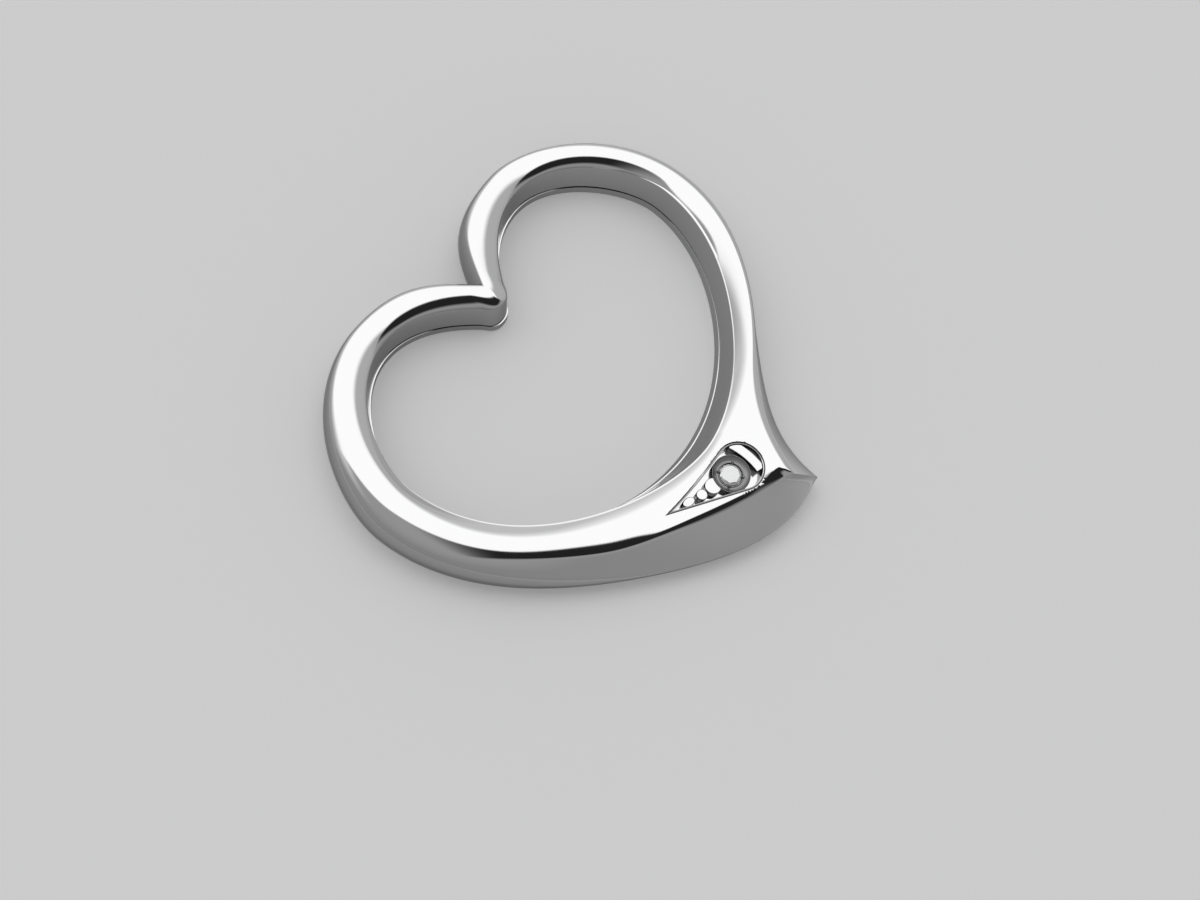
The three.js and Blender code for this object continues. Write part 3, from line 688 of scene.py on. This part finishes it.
def soft_pear_cutter(low):
    """Cuts a pear-shaped well whose upper edge is softened along the band's top."""
    edge = EDGE_SOFTENING
    return new_object("cutter", layered([
        (pear_outline(0), low),
        (pear_outline(0), lambda p: top_of(p) - edge),
        (pear_outline(-0.3*edge), lambda p: top_of(p) - 0.3*edge),
        (pear_outline(-edge), top_of),
        (pear_outline(-2*edge), lambda p: top_of(p) + edge),
        (pear_outline(-2*edge), CREST_HEIGHT + 1),
    ]))


def make_front_shell():
    front = new_object("front_shell_polished", band.copy())
    combine(front, slab_object(PLATE_THICKNESS + SEAM, CREST_HEIGHT + 1), "INTERSECT")
    combine(front, soft_pear_cutter(PLATE_THICKNESS - 1), "DIFFERENCE")
    shade(front.data)
    return finish_piece(front, "front_shell", polished)


def make_back_plate():
    plate = new_object("back_plate_polished", loop_mesh(band_rings(lip=PLATE_LIP)))
    combine(plate, slab_object(-1, PLATE_THICKNESS), "INTERSECT")
    shade(plate.data)
    return finish_piece(plate, "back_plate", polished)


def make_setting_cup():
    """A pear-shaped block under the window, with a thin rim that follows the band's top."""
    cup = new_object("setting_cup_bright", layered([
        (pear_outline(FIT), PLATE_THICKNESS + SEAM),
        (pear_outline(FIT), lambda p: top_of(p) - EDGE_SOFTENING),
        (pear_outline(FIT + 0.5*CUP_RIM), top_of),
        (pear_outline(FIT + CUP_RIM), lambda p: top_of(p) - EDGE_SOFTENING),
        (pear_outline(FIT + CUP_RIM), RECESS_FLOOR),
    ]))
    bore_foot = GIRDLE_HEIGHT - STONE_GIRDLE - STONE_PAVILION - 2*FIT
    combine(cup, round_prism(STONE_RADIUS + FIT, bore_foot, CREST_HEIGHT), "DIFFERENCE")
    shade(cup.data)
    return finish_piece(cup, "setting_cup", bright_cut)


def claw_mesh(number, reach):
    """The rounded head of one claw, stretched upwards, at its place round the stone."""
    turn = PEAR_TURN + (number + 0.5)*360/CLAW_COUNT
    place = Vector(STONE_CENTRE) + (reach + CLAW_OUT*CLAW_RADIUS)*heading(turn)
    bm = bmesh.new()
    bmesh.ops.create_uvsphere(bm, u_segments=CLAW_STEPS[0], v_segments=CLAW_STEPS[1], radius=CLAW_RADIUS)
    for vertex in bm.verts:
        height = CLAW_STRETCH*vertex.co.z + GIRDLE_HEIGHT + CLAW_RISE
        vertex.co = Vector((vertex.co.x + place.x, vertex.co.y + place.y, height))
    return bm


def make_collet_ring():
    """A funnel that slopes to a low lip round the stone, with a groove outside the lip, and claws."""
    foot = RECESS_FLOOR + FIT
    inner = STONE_RADIUS + FIT
    lip = inner + LIP_WIDTH
    groove = RING_TOP - GROOVE_DEPTH
    lip_top = groove + LIP_RISE
    profile = [
        (inner, foot),
        (RING_RADIUS, foot),
        (RING_RADIUS, RING_TOP - 0.5*RING_EDGE),
        (RING_RADIUS - 0.3*RING_EDGE, RING_TOP),
        (RING_RADIUS - RING_EDGE, RING_TOP),
    ]
    profile += [(mix(lip, RING_RADIUS, out), mix(groove, RING_TOP, up)) for out, up in FUNNEL_SLOPE]
    profile += [
        (lip + GROOVE_WIDTH, groove),
        (lip, groove + LIP_SOFTENING),
        (lip - 1.5*LIP_SOFTENING, lip_top),
        (inner + LIP_SOFTENING, lip_top),
        (inner, lip_top - 1.5*LIP_SOFTENING),
    ]
    ring = new_object("collet_ring_satin", turned(profile))
    for number in range(CLAW_COUNT):
        combine(ring, new_object("cutter", claw_mesh(number, inner)), "UNION")
    combine(ring, new_object("cutter", stone_mesh(0.5*FIT)), "DIFFERENCE")
    shade(ring.data, RING_SHARP_ANGLE)
    return finish_piece(ring, "collet_ring", satin_and_painted_shade)


def stone_mesh(grow=0.0):
    """A brilliant cut: table, star and kite facets, a girdle, and a pointed pavilion."""
    centre = Vector(STONE_CENTRE)
    radius = STONE_RADIUS + grow
    low_girdle = GIRDLE_HEIGHT - STONE_GIRDLE
    star_radius = mix(STONE_TABLE_RADIUS, STONE_RADIUS, 0.5) + grow
    break_height = low_girdle - PAVILION_BREAK["depth"]*STONE_PAVILION - grow
    levels = [
        (STONE_FACETS, STONE_TABLE_RADIUS + grow, GIRDLE_HEIGHT + STONE_CROWN + grow, 0),
        (STONE_FACETS, star_radius, GIRDLE_HEIGHT + STAR_RISE*STONE_CROWN + grow, 0.5),
        (2*STONE_FACETS, radius, GIRDLE_HEIGHT + 0.5*grow, 0),
        (2*STONE_FACETS, radius, low_girdle - 0.5*grow, 0),
        (STONE_FACETS, PAVILION_BREAK["radius"]*radius, break_height, 0.5),
    ]
    bm = bmesh.new()
    for count, r, z, offset in levels:
        for p in ring_of(centre, r, count, PEAR_TURN + offset*360/count):
            bm.verts.new((p.x, p.y, z))
    bm.verts.new((centre.x, centre.y, low_girdle - STONE_PAVILION - grow))
    bmesh.ops.convex_hull(bm, input=bm.verts)
    return bm


def make_stone():
    stone = new_object("center_stone_cut", stone_mesh(), STONE_SHARP_ANGLE)
    return finish_piece(stone, "center_stone", stone_look)


def rounded_edge(outline, top, edge, steps):
    """Levels that round off a body's upper edge, where outline(inset) draws the body in plan."""
    levels = []
    for i in range(steps + 1):
        turn = i/steps*math.pi/2
        levels.append((outline(edge*(1 - math.cos(turn))), top - edge*(1 - math.sin(turn))))
    return levels


def button(outline_at, top, edge, crown):
    """A low body with an upright side, a rounded edge and a faintly crowned top."""
    levels = [(outline_at(1), RECESS_FLOOR + FIT)]
    levels += rounded_edge(lambda inset: outline_at(1, inset), top - crown, edge, GRAIN_EDGE_STEPS)
    for share in (0.75, 0.5, 0.25):
        levels.append((outline_at(share, edge), top - crown*share*share))
    return layered(levels)


def disc(centre, radius, stretch=1.0, turn=0.0):
    """Draws a round or stretched outline, shrunk to a share about its middle and drawn in by an inset."""
    middle = Vector(centre)
    along, across = heading(turn), heading(turn + 90)

    def outline_at(share, inset=0.0):
        long_half, short_half = radius*stretch - inset, radius - inset
        points = []
        for i in range(DISC_STEPS):
            way = heading(360*i/DISC_STEPS)
            points.append(middle + share*(along*way.x*long_half + across*way.y*short_half))
        return points
    return outline_at


def make_grain(name, node, size, turn=0.0):
    outline_at = disc((size["x"], size["y"]), size["radius"], size.get("stretch", 1), turn)
    grain = new_object(name, button(outline_at, size["top"], GRAIN_EDGE, GRAIN_CROWN))
    combine(grain, round_prism(RING_RADIUS + FIT, 0, CREST_HEIGHT + 1), "DIFFERENCE")
    combine(grain, pear_prism(RECESS_INSET, 0, CREST_HEIGHT + 1), "INTERSECT")
    shade(grain.data)
    return finish_piece(grain, node, bright_cut)


def make_head_bar():
    """A gently bent bar with a flat bright top, between the ring and the head of the recess."""
    inner, outer = BAR_BEND, BAR_BEND + BAR_WIDTH
    centre = Vector(STONE_CENTRE) + (RING_RADIUS + BAR_GAP - BAR_BEND)*heading(BAR_TURN)

    def outline(inset):
        spread = BAR_SPREAD - math.degrees(inset/outer)
        ways = [heading(mix(BAR_TURN - spread, BAR_TURN + spread, i/BAR_STEPS)) for i in range(BAR_STEPS + 1)]
        far_side = [centre + (outer - inset)*way for way in ways]
        near_side = [centre + (inner + inset)*way for way in reversed(ways)]
        return far_side + near_side

    levels = [(outline(0), RECESS_FLOOR + FIT)] + rounded_edge(outline, BAR_TOP, BAR_EDGE, BAR_EDGE_STEPS)
    bar = new_object("head_bar_bright", layered(levels))
    combine(bar, pear_prism(RECESS_INSET, 0, CREST_HEIGHT + 1), "INTERSECT")
    shade(bar.data)
    return finish_piece(bar, "head_bar", bright_cut)


make_front_shell()
make_back_plate()
make_setting_cup()
make_collet_ring()
make_stone()
make_head_bar()
make_grain("tail_grain_large_bright", "tail_grain_large", LARGE_GRAIN)
make_grain("tail_bead_bright", "tail_bead", BEAD)
make_grain("tail_grain_small_bright", "tail_grain_small", SMALL_GRAIN, PEAR_TURN)


# The floor, the light and the camera
FLOOR_SIZE = 3.0
FLOOR_COLOUR = (0.93, 0.93, 0.935, 1)
FLOOR_ROUGHNESS = 0.85
FLOOR_LIFT = 0.14
BACKDROP = 0.46
SKY_GREY = 0.3
HORIZON = dict(height=0.2, softness=0.6)

# The sky's patches: the tone, the span towards the picture's foot, the span towards its right, and the
# softness of the upper, lower, left and right edge. The last patch is the dark beyond the light.
SKY_PATCHES = (
    (0.54, (-150, -36), (-150, 45), (1, 14, 1, 30)),
    (0.62, (-60, 16), (-150, -45), (30, 30, 1, 20)),
    (0.42, (-60, 0), (28, 100), (20, 20, 10, 30)),
    (1.04, (-38, 2), (-58, 30), (20, 3, 28, 9)),
    (0.015, (1.5, 29), (-2, 46), (4, 16, 18, 16)),
)
PICTURE_DOWN = Vector((-0.7907, -0.6124, 0))
PICTURE_RIGHT = Vector((0.6124, -0.7907, 0))


def make_floor():
    """A plain pale floor, lifted a little for the eye and for what mirrors it, which keeps its shadows."""
    bm = bmesh.new()
    bmesh.ops.create_grid(bm, x_segments=1, y_segments=1, size=FLOOR_SIZE/2/MM)
    floor = new_object("floor", bm)
    material, tree, bsdf = shader("floor_paper")
    bsdf.inputs["Base Color"].default_value = FLOOR_COLOUR
    bsdf.inputs["Roughness"].default_value = FLOOR_ROUGHNESS
    bsdf.inputs["Emission Color"].default_value = FLOOR_COLOUR
    ray = tree.nodes.new("ShaderNodeLightPath")
    lift = ray.outputs["Is Camera Ray"]
    for kind in ("Is Glossy Ray", "Is Transmission Ray"):
        either = tree.nodes.new("ShaderNodeMath")
        either.operation = "MAXIMUM"
        tree.links.new(lift, either.inputs[0])
        tree.links.new(ray.outputs[kind], either.inputs[1])
        lift = either.outputs[0]
    amount = tree.nodes.new("ShaderNodeMath")
    amount.operation = "MULTIPLY"
    amount.inputs[1].default_value = FLOOR_LIFT
    tree.links.new(lift, amount.inputs[0])
    tree.links.new(amount.outputs[0], bsdf.inputs["Emission Strength"])
    floor.data.materials.append(material)


class Sky:
    """The studio's light as patches in the sky, placed by angles from straight up, in degrees."""

    def __init__(self, grey):
        self.world = bpy.data.worlds.new("studio")
        bpy.context.scene.world = self.world
        self.world.use_nodes = True
        self.tree = self.world.node_tree
        self.nodes = self.tree.nodes
        self.background = self.nodes["Background"]
        way = self.nodes.new("ShaderNodeTexCoord").outputs["Generated"]
        self.up = self.dot(way, Vector((0, 0, 1)))
        self.down = self.angle(self.dot(way, PICTURE_DOWN), self.up)
        self.right = self.angle(self.dot(way, PICTURE_RIGHT), self.up)
        self.colour = self.number(grey)

    def number(self, value):
        node = self.nodes.new("ShaderNodeValue")
        node.outputs[0].default_value = value
        return node.outputs[0]

    def dot(self, way, axis):
        node = self.nodes.new("ShaderNodeVectorMath")
        node.operation = "DOT_PRODUCT"
        node.inputs[1].default_value = axis
        self.tree.links.new(way, node.inputs[0])
        return node.outputs["Value"]

    def math(self, operation, a, b):
        node = self.nodes.new("ShaderNodeMath")
        node.operation = operation
        for socket, value in zip(node.inputs, (a, b)):
            if isinstance(value, (int, float)):
                socket.default_value = value
            else:
                self.tree.links.new(value, socket)
        return node.outputs[0]

    def angle(self, across, up):
        return self.math("MULTIPLY", self.math("ARCTAN2", across, up), 180/math.pi)

    def step(self, value, edge, softness):
        node = self.nodes.new("ShaderNodeMapRange")
        node.interpolation_type = "SMOOTHSTEP"
        node.inputs["From Min"].default_value = edge - softness/2
        node.inputs["From Max"].default_value = edge + softness/2
        self.tree.links.new(value, node.inputs["Value"])
        return node.outputs["Result"]

    def blend(self, value, mask):
        keep = self.math("MULTIPLY", self.colour, self.math("SUBTRACT", 1, mask))
        self.colour = self.math("ADD", keep, self.math("MULTIPLY", mask, value))

    def patch(self, value, down, right, soft):
        """A patch from down[0] to down[1] and right[0] to right[1], with the softness of its four edges."""
        past_low = [self.step(self.down, down[0], soft[0]), self.step(self.right, right[0], soft[2])]
        past_high = [self.step(self.down, down[1], soft[1]), self.step(self.right, right[1], soft[3])]
        low = self.math("MULTIPLY", *past_low)
        high = self.math("MULTIPLY", *[self.math("SUBTRACT", 1, past) for past in past_high])
        self.blend(value, self.math("MULTIPLY", low, high))

    def horizon(self, value, height, softness):
        """Fades to a value near the horizon, where the sky meets the floor."""
        self.blend(value, self.math("SUBTRACT", 1, self.step(self.up, height, softness)))

    def done(self, backdrop):
        """Shows the camera a plain backdrop in place of the patches."""
        seen = self.nodes.new("ShaderNodeLightPath").outputs["Is Camera Ray"]
        lit = self.math("MULTIPLY", self.colour, self.math("SUBTRACT", 1, seen))
        shown = self.math("ADD", lit, self.math("MULTIPLY", seen, backdrop))
        self.tree.links.new(shown, self.background.inputs["Color"])


def make_light():
    sky = Sky(SKY_GREY)
    for patch in SKY_PATCHES:
        sky.patch(*patch)
    sky.horizon(BACKDROP, HORIZON["height"], HORIZON["softness"])
    sky.done(BACKDROP)


CAMERA_PLACE = Vector((-32.30, -5.73, 72.99))
CAMERA_TARGET = Vector((-1.604, -1.548, 0))
CAMERA_ROLL = 30
CAMERA_LENS = 54
CAMERA_SENSOR = 36
CAMERA_CLIP = (0.001, 50)


def make_camera():
    """The photo's view: the camera looks at its target and is rolled about that line."""
    data = bpy.data.cameras.new("camera")
    data.sensor_fit = "HORIZONTAL"
    data.sensor_width = CAMERA_SENSOR
    data.lens = CAMERA_LENS
    data.clip_start, data.clip_end = CAMERA_CLIP
    camera = bpy.data.objects.new("camera", data)
    bpy.context.collection.objects.link(camera)
    back = (CAMERA_PLACE - CAMERA_TARGET).normalized()
    level = Vector((0, 0, 1)).cross(back).normalized()
    rise = back.cross(level)
    roll = math.radians(CAMERA_ROLL)
    right = level*math.cos(roll) + rise*math.sin(roll)
    up = rise*math.cos(roll) - level*math.sin(roll)
    matrix = camera.matrix_world.copy()
    for row in range(3):
        matrix[row][0] = right[row]
        matrix[row][1] = up[row]
        matrix[row][2] = back[row]
        matrix[row][3] = CAMERA_PLACE[row]*MM
    camera.matrix_world = matrix
    bpy.context.scene.camera = camera


make_floor()
make_light()
make_camera()
bpy.context.scene.view_settings.view_transform = "Standard"
